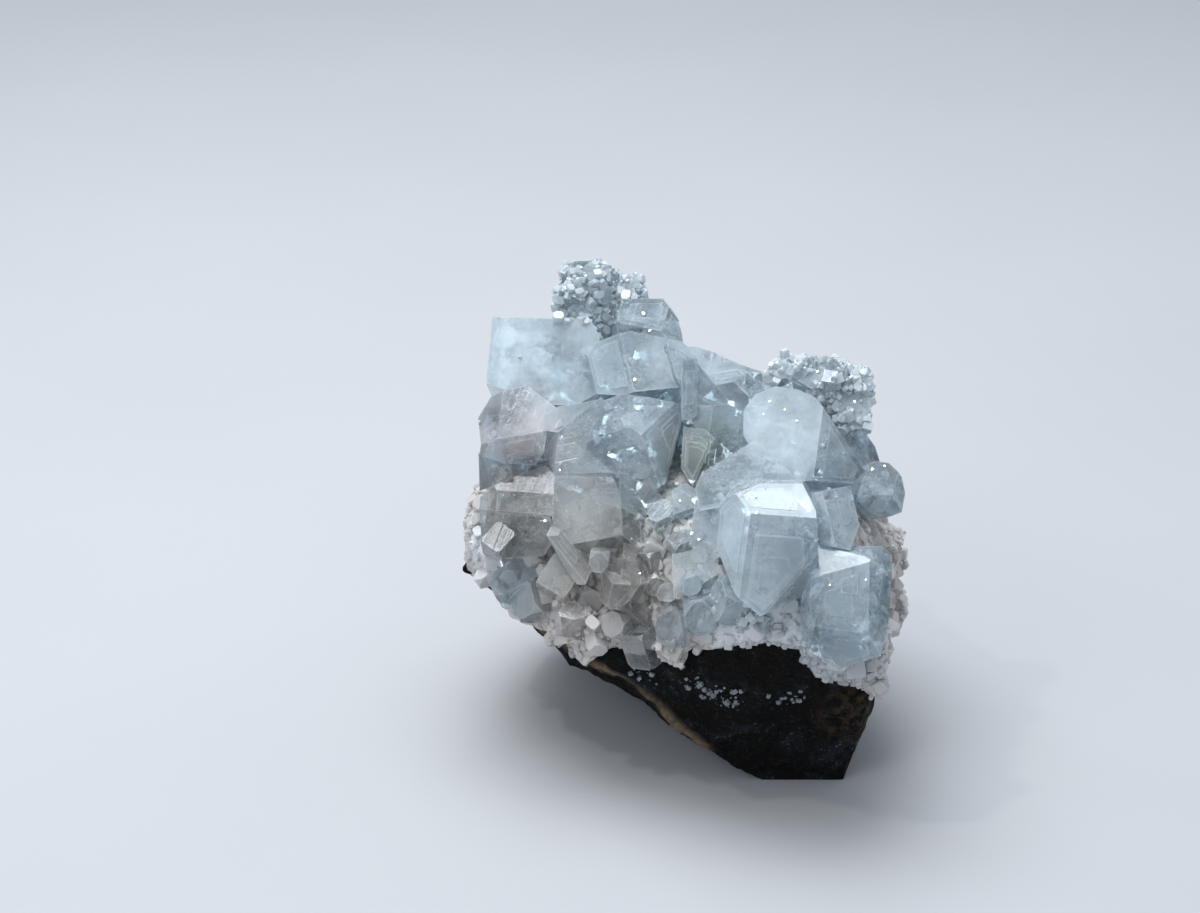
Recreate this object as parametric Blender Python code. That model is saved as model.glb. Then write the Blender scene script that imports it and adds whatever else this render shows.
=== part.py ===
"""Apophyllite on basalt: glassy tetragonal crystals, blocky and pointed, grown together over
a pale druse crust on a wedge of dark rock that rests on one flat break.

Lengths are in millimetres until a mesh is made, which is in metres. x runs right, y back, z up.
"""

import itertools
import math
import random
from collections import namedtuple

import bmesh
import bpy
import numpy as np
from mathutils import Matrix, Vector, noise
from mathutils.bvhtree import BVHTree

# Driving dimensions
MM = 0.001
TO_ORIGIN = Vector((-0.615, -17.6, 0.0))  # brings the middle of the resting box to the origin
FACE_LEAN = math.radians(24)  # the showy face leans back from upright by this much
EYE = Vector((-8.0, 34.35, 300.0))  # outlines are drawn on the showy face as they look from here
GOLDEN_ANGLE = math.pi * (3 - math.sqrt(5))
PYRAMID_TILT = math.radians(60.4)  # apophyllite's pyramid faces, measured from the basal face
ROCK_CENTRE = Vector((3.0, 18.0, 14.0))  # every ray from here meets each surface of the rock once
ROCK_GRAIN = 5.2  # longest edge on the broken rock
ROCK_RELIEF = 1.1
CRUST_THICK = 1.9
CRUST_LUMPS = 0.7
BARE_DEPTH = 1.2  # how far the crust's own surface dives below the rock where the rock is bare
GAP = 0.45  # along a ray; about 0.3 square to the surface

# The broken rock, as corners in x, y, z
REST_FACE = [
    (8.5, 4, 0), (16.6, 4, 0), (18.5, 11, 0), (16.5, 24, 0), (13, 33, 0), (2, 36.5, 0), (-8, 34.5, 0),
]
LOWER_RIM = [
    (2.5, 2.6, 4), (-3, 4, 8.6), (-9, 7.6, 11.6), (-14.5, 12.6, 13.2), (-22.6, 19.6, 16), (-20.5, 27, 14),
    (-15, 36.5, 9), (-4, 40, 6), (9, 39, 11), (17, 33, 8), (19.5, 22, 7), (20, 9, 11), (18.6, 1, 10.5),
]
SHOULDER = [
    (12, -3.2, 20), (4, -0.5, 18.5), (-4, 5, 18), (-12, 12, 20), (18.6, 1, 18), (20, 12, 20),
    (19, 26, 21), (12, 35, 23), (-1, 39, 21), (-12, 36, 23), (-19, 28, 22), (-20, 19.5, 20.5),
]
CROWN = [
    (-14, 18, 26.5), (-10, 31, 30), (3, 33, 29.5), (13, 25, 29), (14, 8, 28), (10, -1, 25),
    (-3, 9, 22.5),
]

# Lowest reach of the crust, in z, by compass bearing about ROCK_CENTRE (0 is right, 90 is back)
CRUST_FRINGE = [
    (-180, 15), (-160, 13.5), (-145, 11.5), (-134, 12.5), (-122, 15.5), (-110, 16.5), (-99, 14.5),
    (-90, 17.5), (-80, 18.5), (-68, 18), (-61, 14.5), (-46, 11), (-15, 13), (15, 18), (40, 17),
    (70, 22), (100, 20), (130, 23), (160, 18), (180, 15),
]

Drawn = namedtuple("Drawn", "outline faces back depth")

# The crystals that show. Each has its outline, as (across, rise) on the showy face and seen from EYE, its
# flat faces, as a place (across, rise, toward) and the way that the face looks, then the way and
# distance that it goes back into its neighbours
DRAWN_CRYSTALS = {
    "corner_block": Drawn(
        [(-19, 48.9), (-9, 48.4), (-8.2, 46.8), (-8.1, 40.5), (-10.3, 39), (-12.5, 39), (-19.3, 41.5)],
        [((-13.6, 44, -4.2), (-0.05, 0.33, 1)), ((-12, 44, -4.1), (0.13, 0.33, 1))],
        (0.1, -0.3, -1), 10,
    ),
    "shelf_block": Drawn(
        [(-20.5, 39), (-19.2, 41.4), (-15.6, 42.2), (-12.4, 39.3), (-11.6, 37), (-12.2, 36.7), (-19.9, 35.4)],
        [((-15, 38.5, -0.5), (-0.1, 0.45, 1)), ((-18.6, 38.5, -1.2), (-0.5, 0.4, 0.8))],
        (0.15, -0.5, -1), 8,
    ),
    "shelf_wedge": Drawn(
        [(-13.6, 38.2), (-12.2, 39.4), (-8, 40.3), (-12.1, 36.6), (-13.6, 36.8)],
        [((-11.5, 38.4, -0.2), (0.15, 0.3, 1))],
        (0.1, -0.2, -1), 8,
    ),
    "rose_block": Drawn(
        [(-20, 35.6), (-15, 36.7), (-13.2, 37), (-13.5, 34.8), (-14.4, 33.5), (-17.9, 33.7), (-20.2, 34.5)],
        [((-16.5, 35, 0.4), (-0.15, -0.05, 1))],
        (0.2, 0.1, -1), 7,
    ),
    "left_chip": Drawn(
        [(-20.3, 34.6), (-17, 33.6), (-16.6, 32.2), (-20.3, 30.8)],
        [((-18.5, 33, -0.3), (-0.35, -0.1, 1))],
        (0.3, 0.1, -1), 7,
    ),
    "striated_block": Drawn(
        [(-7.9, 40.3), (-12.3, 36.8), (-13.7, 35.2), (-12.4, 31.8), (-6, 31.8), (-3, 36)],
        [((-11, 35, 0.3), (-0.22, 0.05, 1)), ((-12.4, 34.6, 0), (-0.7, 0.1, 0.7))],
        (0.1, 0, -1), 9,
    ),
    "window_block": Drawn(
        [
            (-8, 40.2), (-6, 40.8), (-3.3, 40.5), (0, 39.9), (0.1, 38.6), (-1.5, 31.7), (-2.6, 30.9),
            (-6.2, 32.3), (-9.6, 35.2),
        ],
        [
            ((-3.9, 36.5, 2.7), (0.2, 0.42, 0.88)), ((-3.9, 36.5, 2.7), (-0.2, -0.08, 1)),
            ((-3.9, 36.5, 2.7), (0.44, 0.16, 0.87)), ((-7.4, 38, 1.3), (-0.35, 0.4, 0.85)),
        ],
        (0.1, -0.1, -1), 10,
    ),
    "upper_block": Drawn(
        [
            (-9.3, 45.2), (-8.3, 46.3), (-4.9, 47.2), (0.2, 46.2), (1.8, 44.8), (1.4, 39.8), (-3.3, 39.8),
            (-6, 40.3), (-8.1, 40),
        ],
        [((-3, 43.5, -1.2), (0.1, 0.4, 0.9)), ((-5.6, 43, -1), (-0.45, 0.25, 0.86))],
        (0, -0.2, -1), 10,
    ),
    "crest_block": Drawn(
        [(-5.9, 50.5), (-1.8, 50.7), (-0.2, 48.4), (0.3, 45.8), (-2.3, 45.8), (-5.1, 46.8), (-6.4, 47.5)],
        [
            ((-3, 48, -4), (0.05, 0.45, 0.88)), ((-1.5, 48, -4.1), (0.55, 0.25, 0.8)),
            ((-3.2, 46.9, -3.6), (-0.1, -0.2, 1)),
        ],
        (0.1, -0.4, -1), 8,
    ),
    "right_pyramid": Drawn(
        [(-1, 46), (1.9, 44.3), (5, 40), (4.6, 39.3), (1, 39), (-0.5, 42)],
        [((2.5, 41, -0.5), (0.25, 0.35, 0.9))],
        (-0.4, -0.3, -1), 8,
    ),
    "slim_prism": Drawn(
        [(0.1, 44), (1.5, 44.2), (1.6, 38.5), (1.1, 38), (0.2, 38)],
        [((0.8, 40, 1.2), (0.3, 0.2, 0.93))],
        (0.1, 0, -1), 4,
    ),
    "ridge_block": Drawn(
        [(-0.5, 45.8), (2.2, 46.1), (3.4, 45.4), (7.2, 44.2), (9.7, 43.2), (8.5, 39), (3, 39), (-0.6, 42)],
        [((4.5, 43, -11), (0.1, 0.5, 0.85)), ((6.5, 43, -11.2), (0.5, 0.4, 0.76))],
        (0, -0.6, -1), 9,
    ),
    "hollow_block": Drawn(
        [(1.2, 39.3), (4.8, 39.6), (6.6, 38.8), (6.6, 35.6), (4, 34.2), (1.6, 35.8)],
        [((4, 37, 1), (0.2, -0.1, 1)), ((2.6, 37, 1), (-0.5, 0, 0.86))],
        (0, 0, -1), 7,
    ),
    "dark_triangle": Drawn(
        [(0.4, 37.4), (2.6, 37), (4.4, 35.2), (3.6, 32.4), (1.2, 31.4), (0.1, 33.2)],
        [((2.2, 34.8, 2.6), (-0.25, 0.4, 0.9)), ((3.2, 34.6, 2.6), (0.4, 0.1, 0.9))],
        (0, 0, -1), 8,
    ),
    "spark_block": Drawn(
        [(-0.8, 31), (0.6, 31.7), (2.3, 30.6), (2.4, 28.2), (0.9, 27.4), (-0.7, 28.5)],
        [((0.8, 29.8, 5.4), (-0.1, 0.4, 0.9)), ((0.8, 28.8, 5.6), (0.2, -0.4, 0.9))],
        (0, 0, -1), 8,
    ),
    "blush_block": Drawn(
        [(1.4, 30), (4.8, 29.6), (4.8, 25), (3, 23.4), (0.8, 25.6)],
        [((2.8, 27.4, 9.2), (-0.4, 0.1, 0.9))],
        (0.2, 0, -1), 9,
    ),
    "great_block": Drawn(
        [
            (6.4, 36.7), (6.5, 39.5), (7.7, 41.3), (9.8, 42.2), (12, 41.7), (13.6, 40.7), (18.6, 33),
            (17.2, 31.4), (12.3, 30.8), (9.9, 32), (7.3, 34.8),
        ],
        [
            ((11, 37.5, 7.6), (-0.1, 0.42, 0.9)), ((14.6, 36.5, 8), (0.45, 0.3, 0.84)),
            ((8, 38, 7.5), (-0.5, 0.25, 0.83)),
        ],
        (-0.05, -0.4, -1), 14,
    ),
    "saddle_block": Drawn(
        [(1.4, 31), (2, 32.4), (7.3, 35.7), (9.9, 34), (12.6, 31.2), (8, 30.2), (5, 29.1), (2, 28.7)],
        [((7, 32, 10.6), (-0.35, 0.5, 0.8)), ((9.6, 32.2, 11.6), (0.1, 0.5, 0.86))],
        (0.1, 0.1, -1), 10,
    ),
    "front_boulder": Drawn(
        [
            (4, 28.4), (5.5, 30.2), (8, 31), (12.3, 31), (13.6, 28.8), (13.9, 24), (12, 19.8), (8, 18.4),
            (5.5, 20.5), (3.7, 24.4),
        ],
        [
            ((8.8, 25, 15.2), (-0.05, 0.02, 1)), ((9, 29.3, 14.6), (0, 0.6, 0.8)),
            ((5.4, 25, 14.2), (-0.65, 0.1, 0.75)), ((12, 21.5, 14.7), (0.5, -0.45, 0.74)),
        ],
        (0.05, 0.25, -1), 11,
    ),
    "bright_wedge": Drawn(
        [(13.2, 30.7), (17.2, 31.4), (18, 27.5), (17, 25), (14, 25.6)],
        [((15.5, 28.5, 12.4), (0.4, 0.25, 0.88)), ((14.6, 28, 12.7), (-0.3, 0.1, 0.95))],
        (0, 0, -1), 9,
    ),
    "lower_right_block": Drawn(
        [
            (13.4, 24.8), (16, 26), (19, 24), (21.6, 23.6), (22.4, 21), (22.1, 17.6), (20.6, 14), (17, 12.6),
            (13.4, 14.4), (12.8, 20),
        ],
        [
            ((17, 19.5, 15.2), (0.1, 0.1, 1)), ((19.6, 19, 14.2), (0.75, 0.05, 0.66)),
            ((16, 23.4, 14.6), (-0.1, 0.7, 0.7)), ((17, 15.4, 14.6), (0, -0.5, 0.86)),
        ],
        (-0.3, 0.25, -1), 10,
    ),
    "pale_cube": Drawn(
        [(17.9, 25.4), (20.6, 25.5), (21.4, 24.6), (21.3, 22.9), (19, 22.4), (18, 23.1)],
        [((19.6, 24.2, 13.2), (0.3, 0.4, 0.85))],
        (-0.3, -0.2, -1), 8,
    ),
    "right_knob": Drawn(
        [
            (18.2, 33.2), (20, 34), (21.4, 33.8), (22.7, 32.3), (23.1, 30.8), (22.4, 28.8), (21.4, 28.4),
            (19, 28.8), (17.6, 30),
        ],
        [
            ((20.5, 31.5, 1.5), (0.1, 0.4, 0.9)), ((22, 31, 0.9), (0.7, 0.1, 0.7)),
            ((20.5, 30.2, 1.8), (0.1, -0.4, 0.9)), ((19, 31.4, 1.6), (-0.4, 0.3, 0.87)),
        ],
        (-0.4, -0.1, -1), 9,
    ),
    "knob_step": Drawn(
        [(16.4, 38.2), (18.4, 37.5), (19.8, 35.5), (20.2, 33.2), (17.4, 32.8), (16.2, 35)],
        [((18.4, 35.4, -0.6), (0.5, 0.4, 0.77))],
        (-0.3, -0.2, -1), 9,
    ),
    "glass_cube": Drawn(
        [(15.6, 40.9), (18.7, 41), (19.2, 40.4), (19, 37.1), (17.2, 36.8), (15.6, 37.2)],
        [((17.5, 39, 0.2), (0.15, 0.3, 0.94))],
        (-0.1, -0.4, -1), 8,
    ),
    "keel_left": Drawn(
        [
            (-12.7, 32.2), (-6.7, 32.4), (-6, 31), (-5.6, 26.9), (-5.7, 25.4), (-7.9, 23.8), (-10, 24),
            (-13, 26),
        ],
        [((-9.5, 28.5, 2.6), (-0.3, 0.05, 0.95)), ((-8.5, 25.8, 2.9), (-0.15, -0.55, 0.82))],
        (0.1, 0.2, -1), 9,
    ),
    "keel_right": Drawn(
        [
            (-6.1, 32.6), (-2.6, 31.2), (-1.5, 29.8), (-0.5, 27.4), (-0.8, 25), (-1.2, 23.6), (-3, 24.2),
            (-5.9, 26.7),
        ],
        [((-3.6, 28.5, 3.1), (0.3, 0.12, 0.95))],
        (-0.1, 0.2, -1), 9,
    ),
    "keel_chip": Drawn(
        [(-0.9, 27), (0.5, 26.2), (1, 25), (-0.2, 23.6), (-1.4, 24.2)],
        [((0, 25.4, 2.6), (0.3, 0.2, 0.9))],
        (0, 0, -1), 7,
    ),
    "brown_block": Drawn(
        [
            (-20.4, 30.9), (-18.1, 31.8), (-16, 33.2), (-13.8, 33.6), (-12.3, 32), (-12.2, 29.6), (-13, 27.8),
            (-17.4, 27.5), (-20.4, 28.1),
        ],
        [
            ((-16, 29.6, 0.7), (-0.15, 0.1, 1)), ((-15.6, 31.2, 0.4), (-0.1, 0.5, 0.86)),
            ((-18.8, 29.6, 0), (-0.6, 0.1, 0.8)),
        ],
        (0.2, 0, -1), 8,
    ),
    "brown_ledge": Drawn(
        [(-20.7, 28.9), (-17.6, 28.7), (-13, 28.7), (-12.4, 26.4), (-13.6, 24.4), (-17.4, 24), (-20.3, 25.2)],
        [((-16, 26.5, 1.4), (-0.1, -0.15, 1)), ((-18.4, 26.6, 0.8), (-0.7, 0, 0.7))],
        (0.2, 0.2, -1), 8,
    ),
    "low_left_block": Drawn(
        [(-8.2, 24.2), (-5.2, 24.2), (-5.2, 21), (-7.6, 20.4)],
        [((-6.6, 22.4, 4.2), (-0.2, -0.1, 1))],
        (0, 0, -1), 6,
    ),
    "low_middle_block": Drawn(
        [(-5.6, 25.6), (-1, 24.4), (-0.2, 21.2), (-2.8, 19.6), (-6, 21.2)],
        [((-3.2, 22.8, 4.8), (-0.1, 0.3, 0.95)), ((-3.2, 21.4, 5), (0.1, -0.4, 0.9))],
        (0, 0.1, -1), 8,
    ),
    "low_right_block": Drawn(
        [(-0.8, 24.4), (3.4, 25.2), (4.4, 21.6), (2, 19.2), (-0.6, 20.2)],
        [((1.6, 22.2, 9.4), (-0.3, 0.2, 0.93)), ((1.6, 21, 9.5), (0.1, -0.4, 0.9))],
        (0, 0.1, -1), 9,
    ),
    "thorn": Drawn(
        [(-13.4, 26.4), (-12.4, 26.1), (-9, 22.6), (-9.4, 21.7), (-10.3, 21.5), (-11, 22.3)],
        [((-11, 24, 4), (0.5, 0.5, 0.7)), ((-11.2, 23.6, 4.1), (-0.5, -0.3, 0.8))],
        (0.2, 0.4, -1), 5,
    ),
}

# The specimen's top edge against the sky, as (across, rise) seen from EYE
SKYLINE = [
    (-20.5, 36), (-19.5, 41), (-19, 47), (-10, 47.5), (-5, 49), (-1, 48.5), (0.4, 45.6), (3.4, 44.8),
    (7.2, 43.6), (10, 42.6), (18, 40.6), (19, 37), (20, 34), (21, 30), (21.5, 20),
]

# Blocks that fill the back and sides, spread evenly over the upper half of a ball
FILL_COUNT = 58
FILL_WIDTH = (4.6, 8.2)
FILL_BEHIND = -5.0  # they stay farther from the eye than this
FILL_STAND = (1.2, 7.0)  # how far their tops stand off the crust, low down and overhead

# Single blocks under the knob, as (top in x, y, z, width, length)
KNOB_ROOTS = [((-9, 32.8, 39.8), 6, 10), ((-3.5, 32.5, 37), 7, 9), ((-14, 30, 34.5), 7, 8)]

# Balls that bristle with small crystals: (centre, seen from EYE, radius, count, size)
TUFTS = [
    ((-8.9, 50.6, -13.5), 2.9, 30, 2.1),
    ((-5, 49.9, -12.5), 1.8, 10, 1.7),
    ((4.5, 20.3, 8.6), 1.7, 10, 1.8),
    ((7.2, 18.7, 10.6), 1.4, 8, 1.6),
    ((11.6, 41.9, -2.5), 2.2, 12, 1.8),
    ((14.6, 41.7, -1.6), 2.2, 13, 1.7),
    ((17.1, 41.4, -2.2), 1.6, 9, 1.5),
]

# The crust's own small crystals, scattered over it
DRUSE_COUNT = 430
DRUSE_SIZE = (1.2, 2.6)
DRUSE_SIDE = -120  # most of them grow on this bearing
DRUSE_ABOVE_FRINGE = 1.5
DRUSE_CLEARANCE = 0.6  # between them and the large crystals


def on_face(across, rise, toward):
    """A place measured along the showy face, as x, y, z."""
    lean_sin, lean_cos = math.sin(FACE_LEAN), math.cos(FACE_LEAN)
    return Vector((across, rise * lean_sin - toward * lean_cos, rise * lean_cos + toward * lean_sin))


def in_sight(across, rise, toward):
    """A corner drawn on the showy face, carried toward the eye along the line of sight."""
    flat = Vector((across, rise, 0.0))
    return on_face(*(flat + (EYE - flat) * (toward / EYE.z)))


def seen_at(spot):
    """Where a place is seen from EYE: (across, rise, toward)."""
    lean_sin, lean_cos = math.sin(FACE_LEAN), math.cos(FACE_LEAN)
    rise, toward = spot.y * lean_sin + spot.z * lean_cos, spot.z * lean_sin - spot.y * lean_cos
    share = 1 - toward / EYE.z
    return EYE.x + (spot.x - EYE.x) / share, EYE.y + (rise - EYE.y) / share, toward


def along(bearing, elevation):
    """The direction at these angles, in degrees."""
    bearing, elevation = math.radians(bearing), math.radians(elevation)
    level = math.cos(elevation)
    return Vector((math.cos(bearing) * level, math.sin(bearing) * level, math.sin(elevation)))


def corners_within(planes):
    """The corners of the convex solid behind every plane, each a place on it and the way it looks."""
    normals = np.array([Vector(normal).normalized() for _, normal in planes])
    offsets = np.array([Vector(normal).normalized().dot(place) for place, normal in planes])
    corners = []
    for three in itertools.combinations(range(len(planes)), 3):
        matrix = normals[list(three)]
        if abs(np.linalg.det(matrix)) < 1e-6:
            continue
        spot = np.linalg.solve(matrix, offsets[list(three)])
        if (normals @ spot <= offsets + 1e-5).all():
            corners.append(Vector(spot))
    return corners


def drawn_corners(form):
    """The corners of a drawn crystal: its outline run back, behind its faces."""
    back = on_face(*form.back).normalized()
    faces = [(in_sight(*place), on_face(*normal)) for place, normal in form.faces]
    front = [in_sight(across, rise, form.faces[0][0][2]) for across, rise in form.outline]
    middle = sum(front, Vector()) / len(front)
    sides = []
    for corner, following in zip(front, front[1:] + front[:1]):
        normal = (following - corner).cross(back)
        sides.append((corner, normal if normal.dot(corner - middle) > 0 else -normal))
    return corners_within(faces + sides + [(middle + back * form.depth, back)])


def crystal_corners(top, axis, sides, long, point, turn):
    """A tetragonal prism with basal and pyramid faces: top is its middle, long its length behind.

    point has a value for each of the four corners, from 0, hardly cut, to 1, a sharp pyramid, or none.
    """
    c = axis.normalized()
    up = Vector((0.1, 0.2, 1.0))
    b = (up - up.dot(c) * c).normalized()
    frame = Matrix((b.cross(c), b, c)).transposed() @ Matrix.Rotation(turn, 3, "Z")
    half = Vector((sides[0] / 2, sides[1] / 2, 0.0))
    ends = [(top, c), (top - c * long, -c)]
    prism = []
    for bearing in range(0, 360, 90):
        out = along(bearing, 0)
        prism.append((top + frame @ (out * abs(half.dot(out))), frame @ out))
    pyramid = []
    reach = (half.x + half.y) / math.sqrt(2)
    for corner, share in enumerate(point):
        out = along(45 + 90 * corner, 0)
        slope = out * math.sin(PYRAMID_TILT) + Vector((0, 0, math.cos(PYRAMID_TILT)))
        pyramid.append((top + frame @ (out * reach * (1 - share)), frame @ slope))
    return corners_within(ends + prism + pyramid)


def jitter(rng, size):
    return Vector((rng.uniform(-size, size), rng.uniform(-size, size), rng.uniform(-size, size)))


def hidden_behind(corners):
    """Whether a crystal keeps behind the showy ones and under the skyline."""
    for corner in corners:
        across, rise, toward = seen_at(corner)
        if toward > FILL_BEHIND or across < SKYLINE[0][0] or across > SKYLINE[-1][0]:
            return False
        if rise > np.interp(across, *zip(*SKYLINE)):
            return False
    return True


def fill_crystals(rng, crust_tree):
    """Blocks over the back and sides, standing out from the crust."""
    crystals = []
    for index in range(FILL_COUNT):
        height = 0.2 + 0.78 * (index + 0.5) / FILL_COUNT
        ray = along(math.degrees(index * GOLDEN_ANGLE), math.degrees(math.asin(height)))
        stand = FILL_STAND[0] + (FILL_STAND[1] - FILL_STAND[0]) * height**1.5
        wide = rng.uniform(*FILL_WIDTH)
        sides = (wide, wide * rng.uniform(0.8, 1.25))
        points = [rng.choice((0.1, 0.25, 0.5, 0.9))] * 4
        axis = ray + jitter(rng, 0.4)
        turn = rng.uniform(0, 1.5)
        while stand > 0:
            top = crust_tree.ray_cast(ROCK_CENTRE, ray)[0] + ray * stand
            corners = crystal_corners(top, axis, sides, stand + 5, points, turn)
            if hidden_behind(corners):
                crystals.append(corners)
                break
            stand -= 0.8
    for top, wide, long in KNOB_ROOTS:
        axis = Vector((0, 0.2, 1)) + jitter(rng, 0.2)
        turn = rng.uniform(0, 1.5)
        crystals.append(crystal_corners(Vector(top), axis, (wide, wide), long, [0.3] * 4, turn))
    return crystals


def tuft_crystals(rng):
    """Small blocks that bristle from a ball, spread evenly round it."""
    crystals = []
    for centre, radius, count, size in TUFTS:
        middle = in_sight(*centre)
        core = itertools.product(range(0, 360, 60), (-70, -25, 25, 70))
        crystals.append([middle + along(*angles) * radius * 0.9 for angles in core])
        for index in range(count):
            level = 1 - 2 * (index + 0.5) / count
            out = along(math.degrees(index * GOLDEN_ANGLE), math.degrees(math.asin(level)))
            wide = size * rng.uniform(0.7, 1.25)
            top = middle + out * (radius + rng.uniform(0.1, 0.5) * size)
            sides = (wide, wide * rng.uniform(0.8, 1.2))
            points = [rng.choice((0.3, 0.5))] * rng.choice((0, 4))
            axis = out + jitter(rng, 0.5)
            crystals.append(crystal_corners(top, axis, sides, radius, points, rng.uniform(0, 1.5)))
    return crystals


def tree_of(corners, grow=0.0):
    """A search tree of the convex crystal round the corners, grown a little, and its middle."""
    middle = sum(corners, Vector()) / len(corners)
    bm = hull_of([corner + (corner - middle).normalized() * grow for corner in corners])
    tree = BVHTree.FromBMesh(bm)
    bm.free()
    return tree, middle


def clear_of(corners, others):
    """Whether a small crystal stays clear of every large one."""
    tree, middle = tree_of(corners)
    for other, _ in others:
        spot, normal, _, _ = other.find_nearest(middle)
        if tree.overlap(other) or (middle - spot).dot(normal) < 0:
            return False
    return True


def druse_crystals(rng, crust_tree, large):
    """Small crystals that stand on the crust wherever no large one does, most of them in front."""
    taken = [tree_of(corners, DRUSE_CLEARANCE) for corners in large]
    crystals = []
    for _ in range(DRUSE_COUNT):
        ray = along(rng.triangular(-180, 180, DRUSE_SIDE), rng.uniform(-25, 45))
        spot, normal, _, _ = crust_tree.ray_cast(ROCK_CENTRE, ray)
        if spot.z < fringe_height(ray) + DRUSE_ABOVE_FRINGE:
            continue
        wide = rng.uniform(*DRUSE_SIZE)
        axis = normal + jitter(rng, 0.6)
        top = spot + axis.normalized() * wide * rng.uniform(0.35, 0.75)
        sides = (wide, wide * rng.uniform(0.8, 1.2))
        points = [rng.uniform(0.3, 0.7)] * rng.choice((0, 4))
        corners = crystal_corners(top, axis, sides, wide * 1.5, points, rng.uniform(0, 1.5))
        if clear_of(corners, taken):
            crystals.append(corners)
    return crystals


def hull_of(corners):
    """A bmesh of the convex solid round the corners."""
    bm = bmesh.new()
    for corner in corners:
        bm.verts.new(corner)
    hull = bmesh.ops.convex_hull(bm, input=bm.verts)
    inside = {v for v in hull["geom_interior"] + hull["geom_unused"] if isinstance(v, bmesh.types.BMVert)}
    bmesh.ops.delete(bm, geom=list(inside), context="VERTS")
    bmesh.ops.recalc_face_normals(bm, faces=bm.faces)
    return bm


def hull_mesh(name, corners):
    """A closed mesh round the corners, flat faces left whole, in metres."""
    bm = hull_of([(corner + TO_ORIGIN) * MM for corner in corners])
    bmesh.ops.remove_doubles(bm, verts=bm.verts, dist=0.01 * MM)
    bmesh.ops.dissolve_limit(bm, angle_limit=math.radians(0.5), verts=bm.verts, edges=bm.edges)
    mesh = bpy.data.meshes.new(name)
    bm.to_mesh(mesh)
    bm.free()
    return mesh


def rock_shell():
    """The rock seen from ROCK_CENTRE: (rays, radii, faces, resting), one vertex on each ray."""
    bm = hull_of(REST_FACE + LOWER_RIM + SHOULDER + CROWN)
    long_edges = list(bm.edges)
    while long_edges:
        long_edges = [e for e in bm.edges if e.calc_length() > ROCK_GRAIN]
        bmesh.ops.subdivide_edges(bm, edges=long_edges, cuts=1)
        bmesh.ops.triangulate(bm, faces=bm.faces)
    bm.verts.ensure_lookup_table()
    spots = [v.co.copy() for v in bm.verts]
    faces = [[v.index for v in f.verts] for f in bm.faces]
    bm.free()
    rays, radii, resting = [], [], []
    for spot in spots:
        ray = spot - ROCK_CENTRE
        resting.append(spot.z < 0.01)
        breaks = noise.voronoi(spot * 0.15)[0]
        rough = noise.fractal(spot * 0.16, 0.8, 2.1, 4) + 1.2 * (breaks[1] - breaks[0]) - 0.4
        relief = ROCK_RELIEF * rough * min(1.0, spot.z / 5)
        rays.append(ray.normalized())
        radii.append(ray.length + (0.0 if resting[-1] else relief))
    return rays, radii, faces, resting


def fringe_height(ray):
    """How low the crust reaches on this bearing."""
    bearings, heights = zip(*CRUST_FRINGE)
    return float(np.interp(math.degrees(math.atan2(ray.y, ray.x)), bearings, heights))


def crust_depth(ray, radius):
    """Thickness of the crust along the ray: negative where the rock is bare."""
    spot = ROCK_CENTRE + ray * radius
    wander = 2.2 * noise.noise(spot * 0.22)
    above = (spot.z - fringe_height(ray) - wander) / 2.0
    share = min(1.0, max(0.0, above * 0.5 + 0.5))
    lumps = CRUST_LUMPS * noise.fractal(spot * 0.45, 0.7, 2.0, 3)
    return -BARE_DEPTH + share * (BARE_DEPTH + CRUST_THICK + lumps)


def shell_points(rays, radii):
    return [ROCK_CENTRE + ray * radius for ray, radius in zip(rays, radii)]


def shell_mesh(name, rays, radii, faces):
    """A closed mesh with one vertex on each ray, in metres."""
    mesh = bpy.data.meshes.new(name)
    mesh.from_pydata([(spot + TO_ORIGIN) * MM for spot in shell_points(rays, radii)], [], faces)
    return mesh


def add_object(name, mesh, material=None, helper_in=None):
    """An object for the mesh: a part of the specimen, or a helper that only shapes one."""
    item = bpy.data.objects.new(name, mesh)
    if helper_in is None:
        bpy.context.scene.collection.objects.link(item)
        mesh.materials.append(material)
    else:
        helper_in.objects.link(item)
        item.hide_render = True
        item.display_type = "WIRE"
    return item


def helper_collection(name):
    group = bpy.data.collections.new(name)
    bpy.context.scene.collection.children.link(group)
    return group


def combine(item, name, operation, other):
    """Adds a Boolean with one object or with every object of a collection."""
    modifier = item.modifiers.new(name, "BOOLEAN")
    modifier.operation = operation
    modifier.solver = "EXACT"
    if isinstance(other, bpy.types.Collection):
        modifier.operand_type = "COLLECTION"
        modifier.collection = other
    else:
        modifier.object = other


def surface(name, colour, roughness, transmission=0.0):
    """A plain finish for one part."""
    material = bpy.data.materials.new(name)
    material.use_nodes = True
    shader = material.node_tree.nodes["Principled BSDF"]
    shader.inputs["Base Color"].default_value = (*colour, 1.0)
    shader.inputs["Roughness"].default_value = roughness
    shader.inputs["Metallic"].default_value = 0.0
    shader.inputs["Transmission Weight"].default_value = transmission
    shader.inputs["IOR"].default_value = 1.535
    material.diffuse_color = (*colour, 1.0)
    return material


def crystal_group(name, all_corners):
    """Helpers for many crystals, which one Boolean joins."""
    group = helper_collection(name)
    for index, corners in enumerate(all_corners):
        helper = f"{name}_{index}"
        add_object(helper, hull_mesh(helper, corners), None, group)
    return group


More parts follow.
